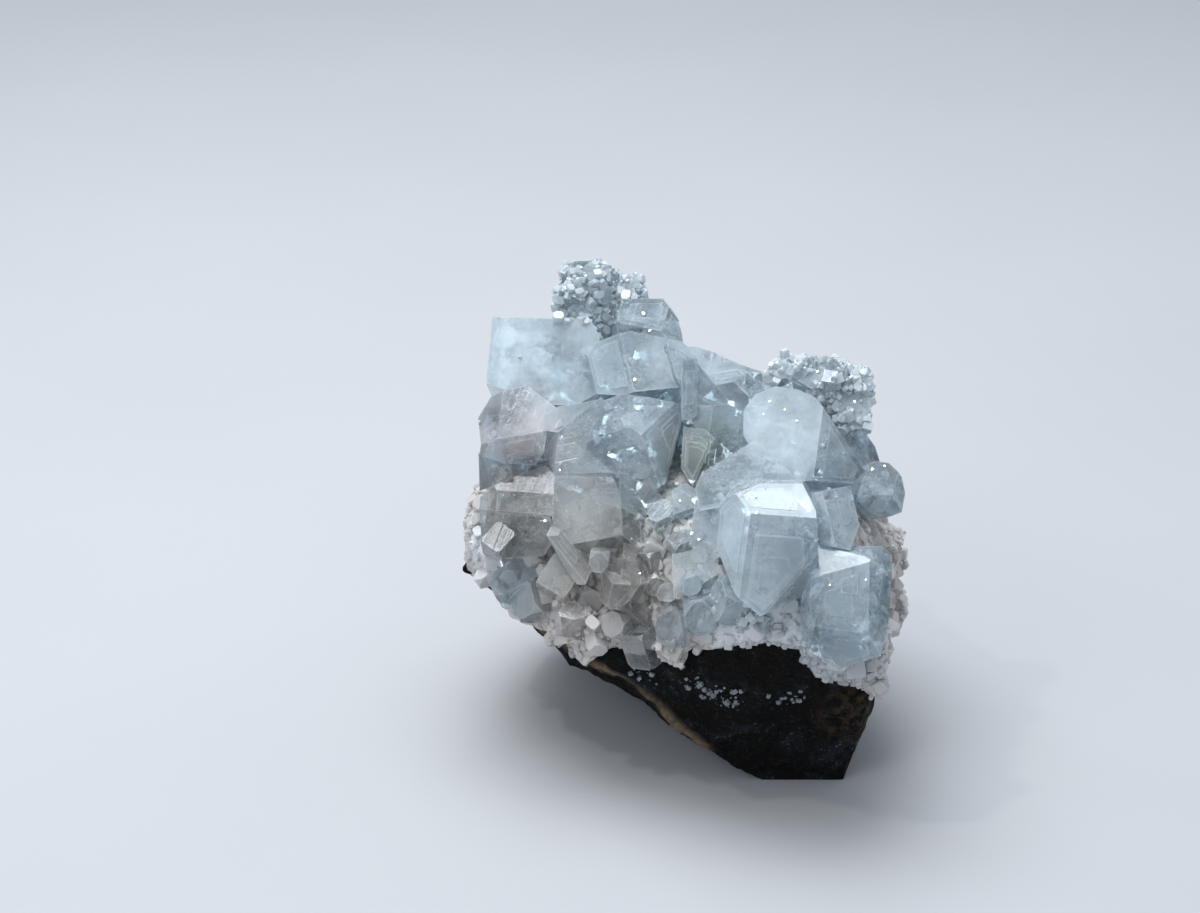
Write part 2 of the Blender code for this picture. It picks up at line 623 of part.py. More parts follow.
def keep_largest_piece(item):
    """Settles an object's Booleans and drops the crystals that touch none of the rest."""
    evaluated = item.evaluated_get(bpy.context.evaluated_depsgraph_get())
    bm = bmesh.new()
    bm.from_mesh(evaluated.data)
    pieces = []
    waiting = set(bm.verts)
    while waiting:
        piece = set()
        reached = {waiting.pop()}
        while reached:
            vert = reached.pop()
            piece.add(vert)
            reached |= {edge.other_vert(vert) for edge in vert.link_edges} & waiting
            waiting -= reached
        pieces.append(piece)
    pieces.sort(key=len)
    bmesh.ops.delete(bm, geom=[vert for piece in pieces[:-1] for vert in piece], context="VERTS")
    item.modifiers.clear()
    bm.to_mesh(item.data)
    bm.free()


def build():
    for item in list(bpy.data.objects):
        bpy.data.objects.remove(item)
    rng = random.Random(11)
    rays, rock, faces, resting = rock_shell()
    depths = [-BARE_DEPTH if flat else crust_depth(*place) for *place, flat in zip(rays, rock, resting)]
    crust = [radius + depth for radius, depth in zip(rock, depths)]
    outer = [max(pair) for pair in zip(rock, crust)]
    crust_tree = BVHTree.FromPolygons(shell_points(rays, outer), faces)
    large = [drawn_corners(form) for form in DRAWN_CRYSTALS.values()]
    large += fill_crystals(rng, crust_tree) + tuft_crystals(rng)
    small = druse_crystals(rng, crust_tree, large)

    clearances = helper_collection("clearances")
    over_rock = shell_mesh("over_rock", rays, [radius + GAP for radius in rock], faces)
    over_crust = shell_mesh("over_crust", rays, [radius + GAP for radius in outer], faces)
    over_rock = add_object("over_rock", over_rock, None, clearances)
    over_crust = add_object("over_crust", over_crust, None, clearances)

    basalt = surface("basalt", (0.03, 0.028, 0.027), 0.8)
    druse = surface("druse", (0.62, 0.58, 0.55), 0.55, 0.2)
    glassy = surface("apophyllite", (0.8, 0.88, 0.9), 0.12, 0.7)
    add_object("basalt_matrix", shell_mesh("basalt_matrix", rays, rock, faces), basalt)

    crust_item = add_object("druse_crust", shell_mesh("druse_crust", rays, crust, faces), druse)
    combine(crust_item, "small_crystals", "UNION", crystal_group("small_crystal", small))
    combine(crust_item, "sits_on_rock", "DIFFERENCE", over_rock)
    keep_largest_piece(crust_item)

    cluster = add_object("apophyllite_cluster", hull_mesh("apophyllite_cluster", large[0]), glassy)
    combine(cluster, "grown_together", "UNION", crystal_group("large_crystal", large[1:]))
    combine(cluster, "sits_on_crust", "DIFFERENCE", over_crust)
    keep_largest_piece(cluster)


build()
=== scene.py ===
"""The visual model of the apophyllite specimen: glassy crystals, sugary druse and dark basalt.

Lengths are in millimetres in the named values, and in metres in the scene.
"""

import math
from collections import namedtuple

import bmesh
import bpy
import numpy as np
from mathutils import Matrix, Vector, noise
from mathutils.bvhtree import BVHTree

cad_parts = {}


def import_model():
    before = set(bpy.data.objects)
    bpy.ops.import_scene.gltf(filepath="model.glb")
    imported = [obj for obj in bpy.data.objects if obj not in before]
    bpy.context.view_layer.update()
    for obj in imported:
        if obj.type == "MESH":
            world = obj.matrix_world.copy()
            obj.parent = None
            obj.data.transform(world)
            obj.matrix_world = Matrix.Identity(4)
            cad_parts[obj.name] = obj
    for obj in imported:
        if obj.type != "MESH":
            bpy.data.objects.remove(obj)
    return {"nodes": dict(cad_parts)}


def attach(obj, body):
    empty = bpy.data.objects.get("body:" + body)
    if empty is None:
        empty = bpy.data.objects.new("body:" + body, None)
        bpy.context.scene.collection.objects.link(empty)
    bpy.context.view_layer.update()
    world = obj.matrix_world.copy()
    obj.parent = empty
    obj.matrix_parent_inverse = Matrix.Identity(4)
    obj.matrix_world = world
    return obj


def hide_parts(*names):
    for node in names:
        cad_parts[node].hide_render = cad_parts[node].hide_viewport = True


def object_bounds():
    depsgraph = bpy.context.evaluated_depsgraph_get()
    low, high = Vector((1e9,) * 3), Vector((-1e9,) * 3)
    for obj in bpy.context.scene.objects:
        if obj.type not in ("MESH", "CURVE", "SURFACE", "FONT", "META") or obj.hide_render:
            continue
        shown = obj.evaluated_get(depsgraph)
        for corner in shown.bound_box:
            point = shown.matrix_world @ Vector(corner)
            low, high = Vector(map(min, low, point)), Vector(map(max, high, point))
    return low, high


MM = 0.001

# The camera, at the photograph's viewing angle
PHOTO_SIZE = (1200, 913)
FOCAL_PX = 3000.0  # focal length in pixels of the photograph
SENSOR_WIDTH = 36.0
CAMERA_AT = Vector((-8.615, -277.7, 153.4))
CAMERA_PITCH = math.radians(24)

# The studio. Each light has a name, a place, a size, a power in watts and a colour
SPARK_LIGHT = (-150, -60, 330)
LIGHTS = [
    ("top_softbox", (-60, 90, 380), 300, 1.75, (0.9, 0.95, 1.0)),
    ("front_fill", (-220, -300, 260), 200, 0.3, (0.9, 0.95, 1.0)),
    ("warm_spark", SPARK_LIGHT, 14, 0.12, (1.0, 0.93, 0.82)),
]
LIGHTS_AIM = Vector((0, 0, 20))
SURROUND_COLOUR = (0.74, 0.82, 0.92, 1.0)
SURROUND_STRENGTH = 0.62
FLOOR_SIZE = 6000

# The longest edges of the crystals, the crust and the rock, once they are divided
CRYSTAL_GRAIN = 0.75
CRUST_GRAIN = 0.5
ROCK_GRAIN = 0.55
DIVIDE_ROUNDS = 6
SEAM_GAP = 0.002  # vertices nearer than this are joined
SMALLEST_EDGE = 0.001
FLAT_ANGLE = math.radians(1.0)  # faces that meet at less than this are one flat face

# The crystals' looks. Zones have a pixel of the photograph, a radius and, for a tint, a colour
CRYSTAL_IOR = 1.535
CRYSTAL_BLUE = (0.86, 0.95, 1.0)
CRYSTAL_MILK = (0.78, 0.89, 0.95)
# The white of the painted highlight along the crystals' edges
PAINTED_HIGHLIGHT_WHITE = (0.94, 0.97, 0.98)
EDGE_WIDTH = 0.22
ABSORBED_COLOUR = (0.7, 0.88, 0.96, 1.0)
ABSORBED_DENSITY = 45.0
# The warm and brown tints on the lower and left faces are painted reflection of a brown surface
TINTS_AND_PAINTED_REFLECTION = [
    ((512, 445), 8, (0.88, 0.82, 0.81)),
    ((515, 513), 7, (0.52, 0.47, 0.42)),
    ((600, 510), 6, (0.66, 0.67, 0.65)),
    ((590, 600), 9, (0.8, 0.73, 0.67)),
    ((650, 590), 7, (0.68, 0.64, 0.6)),
    ((706, 450), 6, (0.46, 0.52, 0.49)),
]
MILKY_ZONES = [((495, 330), 9), ((800, 430), 6), ((770, 500), 6), ((560, 400), 5)]
GROWTH_AXIS = (0.25, 0.35, 0.9)  # growth lines run roughly this way on every face

# The druse's colours: the crust, its grains, and places that differ, by centre, radius and colour
DRUSE_WARM = (0.58, 0.53, 0.5)
DRUSE_GRAIN = (0.74, 0.69, 0.66)
DRUSE_TINTS = [
    ((12, -18, 20), 12, (0.6, 0.64, 0.67)),
    ((-22, -2, 20), 5, (0.74, 0.76, 0.78)),
    ((4.5, -19, 20), 4, (0.85, 0.87, 0.88)),
    ((0.5, -8, 26), 7, (0.46, 0.5, 0.49)),
]
ZONE_CORE = 0.4  # the share of a zone's radius with its full effect
ZONE_FADE = 1.6  # how steeply a tint fades towards its radius

# Detail on the crystal faces. Areas are in square millimetres
SMALLEST_FACET = 1.5
PLATE_FACET = 5.0
PLATES_PER_FACET = (1, 4)  # from the first to one under the second
PLATE_CENTRING = (0.3, 1.0)  # from a corner of the face at 0 to its middle at 1
PLATE_SHARE = (0.25, 0.8)  # of the face's width
PLATE_HEIGHT = (0.02, 0.09)
PLATE_SUNK = 0.12
TURN_SLACK = 1e-4

# Flaws inside the crystals: ragged discs
VEIL_EVERY = 5.0  # square millimetres of face to a veil
VEIL_DEPTH = (0.5, 3.2)
VEIL_RADIUS = (0.5, 2.0)
VEIL_CLEARANCE = 0.25
VEIL_CLEARANCE_SHARE = 0.2  # more clearance for a larger veil
VEIL_REACH = 1.1  # the largest radius, as a share of the way to the surface
VEIL_LEAN = 0.6
DISC_SIDES = 12
DISC_REACH = (0.55, 1.15)
DISC_WAVE = 0.12
DISC_HALF_DEPTH = 0.02

# Growth lines: two pixels of the photograph, and a width
GROWTH_LINES = [
    (705, 463, 707, 443, 0.035), (708, 465, 711, 441, 0.045), (711, 466, 714, 443, 0.035),
    (714, 463, 716, 449, 0.03), (549, 441, 572, 437, 0.04), (551, 448, 575, 443, 0.05),
    (553, 456, 571, 452, 0.03), (555, 463, 577, 458, 0.045), (549, 467, 567, 464, 0.03),
    (540, 521, 551, 520, 0.06), (556, 539, 585, 580, 0.05),
]
LONGEST_LINE = 4
LINE_FACING = Vector((0, -1, 0.5))

# Noise on the crust and the rock: repeats in a millimetre, and how far it moves the surface
CRUST_LUMP = (0.55, 0.15)
CRUST_NUB = (0.85, 0.34)
CRUST_FINE = (2.3, 0.08)
ROCK_ROUGH = (0.5, 0.3)
ROCK_PIT = (0.55, 0.35)
CRUST_LAYERS = (0.8, 2.1, 3)  # how layers of noise fade, how much finer each is, and how many
ROCK_LAYERS = (0.75, 2.1, 5)
CELL_CORE = 0.45  # how near a cell's own point its nub or pit begins
MOST_RAISED = 0.25

# The rock's flat foot, its layered rim and its rusty place
FOOT_HEIGHT = 0.02
FOOT_FADE = 1.5
ROCK_CENTRE = Vector((2.385, 0.4, 14.0))  # a place inside the rock
RIM_LINE = [(-21.5, -2, 15.5), (-15.1, -5, 13.2), (-9.6, -10, 11.6), (-3.6, -13.6, 8.6), (1.9, -15, 4)]
RIM_WIDTH = 0.8
RIM_FULL = 1.4
RUST_ZONE = ((17, -16, 9), 5, (1, 1, 1))

# Small crystal blocks: corner cuts, turn in radians, and width and length as shares of the size
BLOCK_CUTS = (0.12, 0.24, 0.36)
BLOCK_SPIN = (0, 1.6)
BLOCK_WIDTH = (0.7, 1.3)
BLOCK_LENGTH = (0.9, 1.5)
BLOCK_PROUD = 0.05  # how far a block's middle stands out, as a share of its size
BLOCK_SHADES = (0.9, 1.06)
SPOTS_DRAWN = 4  # places drawn for each one wanted

# Where small crystals grow. GLINTS, SPECKS and FILLERS are pixels of the photograph
DRUSE_COATS = [("druse_grains", 7500, (0.2, 0.7)), ("druse_blocks", 700, (0.7, 1.8))]
TUFTS = [((580, 285), 6.5), ((815, 378), 5), ((850, 385), 5), ((735, 602), 3)]
TUFT_COUNT = 2200
TUFT_SIZES = (0.25, 0.95)
TUFT_WHITE = (0.76, 0.86, 0.91)
PERCHED_COUNT = 260
PERCHED_SIZES = (0.1, 0.35)
PERCHED_PATCH = (0.3, 0.18)  # repeats in a millimetre, and the level above which it is a patch
GLINTS = [
    (644, 314), (650, 331), (635, 380), (770, 402), (785, 410), (797, 421), (764, 414), (680, 501),
    (692, 534), (699, 540), (640, 574), (545, 521), (513, 596), (830, 585), (757, 513), (866, 580),
    (560, 470), (873, 470), (885, 466), (818, 372), (842, 384), (855, 402), (586, 276), (724, 606),
    (740, 615), (752, 618), (735, 596),
]
GLINT_SIZES = (0.13, 0.3)
SPECKS = [(700, 684), (714, 692), (730, 700), (788, 696), (640, 672)]
SPECKS_IN_EACH = 22
SPECK_SPREAD = 0.9
SPECK_SIZES = (0.08, 0.5)
SPECK_GREY = (0.17, 0.19, 0.22)
FILLERS = [
    (665, 520), (685, 545), (655, 560), (690, 585), (668, 600), (640, 600), (615, 590), (590, 600),
    (560, 580), (620, 625), (650, 640), (680, 625), (540, 560), (520, 580), (735, 600), (600, 560),
    (700, 610), (575, 620), (660, 585), (500, 545), (535, 600),
]
FILLER_SIZES = (2.0, 3.6)
FILLER_LEAN = 0.6

CRYSTAL_SEED, GRAIN_SEED, GLINT_SEED, SPECK_SEED, FILLER_SEED = 8, 3, 4, 5, 6

MIX_COLOURS, MIX_RESULT = (6, 7), 2  # a Mix node's sockets for colours


def sight(px, py):
    """The camera's line of sight through a pixel of the photograph: start and direction."""
    local = Vector(((px - PHOTO_SIZE[0] / 2) / FOCAL_PX, (PHOTO_SIZE[1] / 2 - py) / FOCAL_PX, -1))
    turn = Matrix.Rotation(math.pi / 2 - CAMERA_PITCH, 3, "X")
    return CAMERA_AT * MM, (turn @ local).normalized()


def spot_at(tree, px, py):
    """Where the line of sight through a pixel meets a surface: place and normal, or None."""
    spot, normal, _, _ = tree.ray_cast(*sight(px, py))
    return (spot, normal) if spot else None


def centre_at(tree, pixel):
    """The place in millimetres that a pixel of the photograph shows."""
    return tuple(spot_at(tree, *pixel)[0] / MM)


def within(places, box):
    """Whether places in millimetres all lie in a box in metres."""
    places = np.array(places) * MM
    return bool((places >= np.array(box[0])).all() and (places <= np.array(box[1])).all())


class Nodes:
    """A material's nodes, made and joined in short calls."""

    def __init__(self, name):
        self.material = bpy.data.materials.new(name)
        self.material.use_nodes = True
        tree = self.material.node_tree
        self.nodes, self.links = tree.nodes, tree.links
        self.shader = self.nodes["Principled BSDF"]
        self.output = self.nodes["Material Output"]
        self.place = self.add("TexCoord").outputs["Object"]

    def put(self, socket, value):
        """Joins a socket to this one, or sets its value."""
        if isinstance(value, bpy.types.NodeSocket):
            self.links.new(value, socket)
        else:
            socket.default_value = value

    def add(self, kind, inputs=None, **settings):
        node = self.nodes.new("ShaderNode" + kind)
        for name, value in settings.items():
            setattr(node, name, value)
        for name, value in (inputs or {}).items():
            self.put(node.inputs[name], value)
        return node

    def finish(self, **inputs):
        """Sets the shader's sockets, named with _ for a space."""
        for name, value in inputs.items():
            self.put(self.shader.inputs[name.replace("_", " ")], value)
        return self.material

    def noise(self, size, detail=4.0, roughness=0.6, distortion=0.0, place=None):
        """Noise from 0 to 1 with features of this size in millimetres."""
        inputs = {
            "Vector": place or self.place, "Scale": 1 / (size * MM), "Detail": detail,
            "Roughness": roughness, "Distortion": distortion,
        }
        return self.add("TexNoise", inputs).outputs["Fac"]

    def cells(self, size):
        """How far each place is from the edge of its cell, for cells of this size in millimetres."""
        inputs = {"Vector": self.place, "Scale": 1 / (size * MM)}
        return self.add("TexVoronoi", inputs, feature="DISTANCE_TO_EDGE").outputs["Distance"]

    def remap(self, value, low, high, to_low=0.0, to_high=1.0):
        inputs = {"Value": value, "From Min": low, "From Max": high, "To Min": to_low, "To Max": to_high}
        return self.add("MapRange", inputs).outputs["Result"]

    def math(self, operation, first, second):
        node = self.add("Math", operation=operation)
        self.put(node.inputs[0], first)
        self.put(node.inputs[1], second)
        return node.outputs[0]

    def mix(self, share, first, second):
        """Colours mixed by a share."""
        node = self.add("Mix", data_type="RGBA")
        self.put(node.inputs["Factor"], share)
        for index, colour in zip(MIX_COLOURS, (first, second)):
            joined = isinstance(colour, bpy.types.NodeSocket)
            self.put(node.inputs[index], colour if joined else (*colour, 1.0))
        return node.outputs[MIX_RESULT]

    def vector(self, operation, first, second):
        """The vector or value that a vector operation gives."""
        node = self.add("VectorMath", operation=operation)
        self.put(node.inputs[0], first)
        self.put(node.inputs[1], second)
        return node.outputs["Value" if operation in ("DOT_PRODUCT", "DISTANCE") else "Vector"]

    def zone(self, centre, radius):
        """A share that is 1 near a centre in millimetres and fades to 0 at the radius."""
        distance = self.vector("DISTANCE", self.place, tuple(value * MM for value in centre))
        return self.remap(distance, radius * ZONE_CORE * MM, radius * MM, 1.0, 0.0)

    def attribute(self, name, output="Fac"):
        return self.add("Attribute", attribute_name=name).outputs[output]

    def bump(self, height, distance, strength=1.0, normal=None):
        """A normal from a height of 0 to 1 over this many millimetres."""
        inputs = {"Height": height, "Distance": distance * MM, "Strength": strength}
        if normal is not None:
            inputs["Normal"] = normal
        return self.add("Bump", inputs).outputs["Normal"]


def painted_edge_highlight(made):
    """A share that rises towards the sharp edges, where a painted highlight lies as a bright line."""
    rounded = made.add("Bevel", {"Radius": EDGE_WIDTH * MM}, samples=2).outputs["Normal"]
    flat = made.add("NewGeometry").outputs["True Normal"]
    return made.remap(made.vector("DOT_PRODUCT", rounded, flat), 0.97, 0.8)


def crystal_milk(made, tree, facet, edge):
    """How milky each place is: clouds and wisps inside, different on each face, more at the edges under the
    painted highlight.
    """
    cloud = made.noise(7.0, 2, 0.45, 0.2)
    wisp = made.noise(0.9, 5, 0.7, 0.4)
    milk = made.math("ADD", made.math("MULTIPLY", cloud, 0.32), made.math("MULTIPLY", wisp, 0.14))
    milk = made.math("ADD", milk, made.math("MULTIPLY", facet, 0.26))
    milk = made.math("ADD", milk, 0.16)
    for pixel, radius in MILKY_ZONES:
        zone = made.zone(centre_at(tree, pixel), radius)
        milk = made.math("ADD", milk, made.math("MULTIPLY", zone, 0.06))
    # More milk at the edges, as part of the painted highlight there
    return made.math("ADD", milk, made.math("MULTIPLY", edge, 0.15))


def crystal_relief(made, facing, facet):
    """Slight waves and growth steps, with fine growth lines on some faces."""
    across = made.vector("DOT_PRODUCT", made.place, made.vector("CROSS_PRODUCT", facing, GROWTH_AXIS))
    lines = made.add("TexNoise", {"W": across, "Scale": 2600.0, "Detail": 3.0}, noise_dimensions="1D")
    steps = made.math("SNAP", made.noise(2.2, 2, 0.5), 0.07)
    relief = made.bump(made.noise(1.4, 3, 0.5), 0.015)
    relief = made.bump(steps, 0.07, 0.6, relief)
    return made.bump(lines.outputs["Fac"], 0.03, made.remap(facet, 0.45, 0.65), relief)


def crystal_material(tree):
    """Apophyllite: glassy, from clear to milky, pale blue with warmer places on the tree's surface, partly
    painted reflection of a brown surface, and a painted highlight along the edges.
    """
    made = Nodes("apophyllite_glass")
    facing = made.add("NewGeometry").outputs["True Normal"]
    facet = made.noise(400.0, 1, 0.5, place=facing)
    # edge: the share of the painted highlight along the edges
    edge = painted_edge_highlight(made)
    milk = crystal_milk(made, tree, facet, edge)
    colour = made.mix(made.remap(milk, 0.42, 0.68, 0.0, 0.6), CRYSTAL_BLUE, CRYSTAL_MILK)
    # Tints: the warm and brown ones are painted reflection of a brown surface
    for pixel, radius, tint in TINTS_AND_PAINTED_REFLECTION:
        share = made.math("MULTIPLY", made.zone(centre_at(tree, pixel), radius), 0.85)
        colour = made.mix(share, colour, tint)
    # Painted highlight: the edges are whitened
    colour = made.mix(made.math("MULTIPLY", edge, 0.5), colour, PAINTED_HIGHLIGHT_WHITE)
    absorption = made.add("VolumeAbsorption", {"Color": ABSORBED_COLOUR, "Density": ABSORBED_DENSITY})
    made.put(made.output.inputs["Volume"], absorption.outputs["Volume"])
    return made.finish(
        Base_Color=colour, IOR=CRYSTAL_IOR, Normal=crystal_relief(made, facing, facet),
        Roughness=made.remap(made.noise(1.6, 4, 0.6), 0.35, 0.7, 0.02, 0.13),
        Transmission_Weight=made.remap(milk, 0.44, 0.68, 0.95, 0.45),
    )


def veil_material():
    """The flaws inside the crystals: wisps that are mostly see-through."""
    made = Nodes("inner_veil")
    wisp = made.remap(made.noise(0.7, 5, 0.7, 1.0), 0.42, 0.7, 0.0, 0.75)
    return made.finish(Base_Color=(0.93, 0.97, 1.0, 1.0), Roughness=0.35, Alpha=wisp)


def line_material():
    """The bright edges of growth lines, warmer at the left."""
    made = Nodes("growth_line")
    colour = made.mix(made.zone((-12, -4, 31), 6), (0.9, 0.94, 0.96), (0.95, 0.87, 0.83))
    return made.finish(Base_Color=colour, Roughness=0.2, IOR=CRYSTAL_IOR, Transmission_Weight=0.2)


def glint_material():
    """The polished small faces that sparkle."""
    made = Nodes("glint_glass")
    colour = made.mix(made.noise(0.5), (0.85, 0.9, 0.93), (0.95, 0.95, 0.93))
    return made.finish(Base_Color=colour, Roughness=0.05, IOR=CRYSTAL_IOR, Transmission_Weight=0.3)


def grain_material():
    """The small crystals: glassy and pale, each with its own tint."""
    made = Nodes("small_crystal_glass")
    cloud = made.math("MULTIPLY", made.noise(2.0, 3, 0.6), 0.35)
    colour = made.mix(cloud, made.attribute("tint", "Color"), (0.88, 0.9, 0.92))
    return made.finish(
        Base_Color=colour, Roughness=0.16, IOR=CRYSTAL_IOR, Transmission_Weight=0.3,
        Subsurface_Weight=0.4, Subsurface_Scale=0.001, Subsurface_Radius=(0.9, 0.95, 1.0),
        Normal=made.bump(made.noise(0.3, 2, 0.5), 0.03),
    )


def druse_material():
    """The crust: a milky mass of small crystals, warm grey and greyer in places."""
    made = Nodes("druse_sugar")
    cloud = made.noise(3.2, 5, 0.65)
    tint = made.attribute("tint", "Color")
    colour = made.mix(made.remap(cloud, 0.4, 0.75, 0.0, 0.6), tint, (0.74, 0.72, 0.7))
    bump = made.bump(made.cells(0.55), 0.12)
    bump = made.bump(made.noise(0.2, 3, 0.6), 0.05, 1.0, bump)
    return made.finish(
        Base_Color=colour, Roughness=made.remap(cloud, 0.3, 0.7, 0.2, 0.45), IOR=CRYSTAL_IOR, Normal=bump,
        Subsurface_Weight=0.45, Subsurface_Scale=0.0007, Subsurface_Radius=(1.0, 0.85, 0.75),
    )


def basalt_material():
    """Basalt: near black, with grey-blue films, pale dust, a rusty place and a layered brown rim."""
    made = Nodes("basalt_rock")
    film = made.remap(made.noise(3.4, 6, 0.7, 0.8), 0.5, 0.7)
    colour = made.mix(made.noise(1.2, 5, 0.7), (0.001, 0.001, 0.001), (0.009, 0.008, 0.007))
    colour = made.mix(made.math("MULTIPLY", film, 0.22), colour, (0.045, 0.06, 0.085))
    dust = made.remap(made.noise(0.3, 3, 0.7), 0.6, 0.72)
    dust = made.math("MULTIPLY", dust, made.remap(film, 0, 1, 0.1, 0.8))
    colour = made.mix(dust, colour, (0.35, 0.38, 0.42))
    patches = made.remap(made.noise(1.0, 5, 0.7), 0.45, 0.65, 0.0, 0.6)
    rust = made.math("MULTIPLY", made.attribute("rust"), patches)
    colour = made.mix(rust, colour, (0.1, 0.065, 0.035))
    layers = made.remap(made.noise(0.5, 4, 0.6), 0.3, 0.6, 0.4, 1)
    colour = made.mix(made.math("MULTIPLY", made.attribute("rim"), layers), colour, (0.2, 0.15, 0.1))
    bump = made.bump(made.noise(0.8, 6, 0.7), 0.3)
    bump = made.bump(made.noise(0.18, 4, 0.7), 0.08, 1.0, bump)
    return made.finish(
        Base_Color=colour, Roughness=made.remap(film, 0, 1, 0.75, 0.4), Normal=bump, Specular_IOR_Level=0.1,
    )


def floor_material():
    made = Nodes("pale_floor")
    colour = made.mix(made.noise(60, 3, 0.5), (0.46, 0.46, 0.47), (0.5, 0.5, 0.51))
    return made.finish(Base_Color=colour, Roughness=0.7)


def copied_bmesh(node):
    """A copy of the CAD node's mesh, with its seams closed."""
    bm = bmesh.new()
    bm.from_mesh(node.data)
    bmesh.ops.remove_doubles(bm, verts=bm.verts, dist=SEAM_GAP * MM)
    return bm


def triangulate(bm):
    bmesh.ops.triangulate(bm, faces=[face for face in bm.faces if len(face.verts) > 3])


def divide(bm, longest):
    """Divides every edge that is longer than this many millimetres."""
    for _ in range(DIVIDE_ROUNDS):
        long_edges = [edge for edge in bm.edges if edge.link_faces and edge.calc_length() > longest * MM]
        bmesh.ops.subdivide_edges(bm, edges=long_edges, cuts=1)
        triangulate(bm)
    bmesh.ops.dissolve_degenerate(bm, dist=SMALLEST_EDGE * MM, edges=bm.edges)
    triangulate(bm)


def finished_mesh(bm, name):
    """The mesh of a finished form, which is freed."""
    mesh = bpy.data.meshes.new(name)
    bm.to_mesh(mesh)
    bm.free()
    return mesh


def add_piece(name, mesh, material, replaced=None):
    item = bpy.data.objects.new(name, mesh)
    bpy.context.scene.collection.objects.link(item)
    mesh.materials.clear()
    mesh.materials.append(material)
    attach(item, "root")
    if replaced:
        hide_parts(replaced)


def paint(mesh, name, colours):
    """A colour for each vertex."""
    layer = mesh.color_attributes.new(name, "FLOAT_COLOR", "POINT")
    values = np.ones((len(mesh.vertices), 4), np.float32)
    values[:, :3] = colours
    layer.data.foreach_set("color", values.ravel())


def weigh(mesh, name, values):
    """A number for each vertex."""
    layer = mesh.attributes.new(name, "FLOAT", "POINT")
    layer.data.foreach_set("value", np.asarray(values, np.float32))


def places_of(mesh):
    """Every vertex's place in millimetres."""
    places = np.empty(len(mesh.vertices) * 3, np.float32)
    mesh.vertices.foreach_get("co", places)
    return places.reshape(-1, 3) / MM


def blended(places, base, zones):
    """A colour for each place: the base, tinted inside each zone of (centre, radius, colour)."""
    colours = np.tile(np.array(base, float), (len(places), 1))
    for centre, radius, colour in zones:
        distance = np.linalg.norm(places - np.array(centre), axis=1) / radius
        share = np.clip(ZONE_FADE - ZONE_FADE * distance, 0, 1)[:, None]
        colours = colours * (1 - share) + np.array(colour) * share
    return colours


Facet = namedtuple("Facet", "centre normal corners area")


def facets_of(bm):
    """The flat faces that are large enough to carry detail, in millimetres."""
    facets = []
    for face in bm.faces:
        area = face.calc_area() / MM**2
        if area > SMALLEST_FACET:
            corners = [corner.co / MM for corner in face.verts]
            facets.append(Facet(face.calc_center_median() / MM, face.normal.copy(), corners, area))
    return facets


def is_convex(facet):
    """Whether the outline turns one way all round."""
    corners = facet.corners
    for before, corner, after in zip(corners[-1:] + corners[:-1], corners, corners[1:] + corners[:1]):
        if (corner - before).cross(after - corner).dot(facet.normal) < -TURN_SLACK:
            return False
    return True


def mesh_of(name, forms):
    """One mesh for many forms, each (places in millimetres, faces)."""
    places, faces = [], []
    for form_places, form_faces in forms:
        faces += [[len(places) + corner for corner in face] for face in form_faces]
        places += form_places
    mesh = bpy.data.meshes.new(name)
    mesh.from_pydata([place * MM for place in places], [], faces)
    return mesh


def plate_form(outline, normal, height):
    """A thin plate over an outline, sunk a little into the face below."""
    count = len(outline)
    places = [corner - normal * PLATE_SUNK for corner in outline]
    places += [corner + normal * height for corner in outline]
    faces = [list(range(count))[::-1], list(range(count, 2 * count))]
    for index in range(count):
        after = (index + 1) % count
        faces.append([index, after, after + count, index + count])
    return places, faces


def growth_plates(facets, rng, box):
    """Thin plates on the larger faces, with the face's own outline, as growth leaves them."""
    forms = []
    for facet in facets:
        if facet.area < PLATE_FACET or not is_convex(facet):
            continue
        for _ in range(rng.integers(*PLATES_PER_FACET)):
            corner = facet.corners[rng.integers(len(facet.corners))]
            anchor = corner.lerp(facet.centre, rng.uniform(*PLATE_CENTRING))
            share = rng.uniform(*PLATE_SHARE)
            outline = [anchor + (corner - anchor) * share for corner in facet.corners]
            form = plate_form(outline, facet.normal, rng.uniform(*PLATE_HEIGHT))
            if within(form[0], box):
                forms.append(form)
    return forms


def disc_form(middle, normal, radius, rng):
    """A thin ragged disc with a slight wave."""
    turn = normal.to_track_quat("Z", "Y").to_matrix()
    rim = []
    for index in range(DISC_SIDES):
        angle = 2 * math.pi * index / DISC_SIDES
        reach = radius * rng.uniform(*DISC_REACH)
        wave = rng.uniform(-DISC_WAVE, DISC_WAVE) * radius
        rim.append(Vector((math.cos(angle) * reach, math.sin(angle) * reach, wave)))
    poles = [Vector((0, 0, DISC_HALF_DEPTH)), Vector((0, 0, -DISC_HALF_DEPTH))]
    places = [middle + turn @ place for place in rim + poles]
    faces = []
    for index in range(DISC_SIDES):
        after = (index + 1) % DISC_SIDES
        faces += [[index, after, DISC_SIDES], [after, index, DISC_SIDES + 1]]
    return places, faces


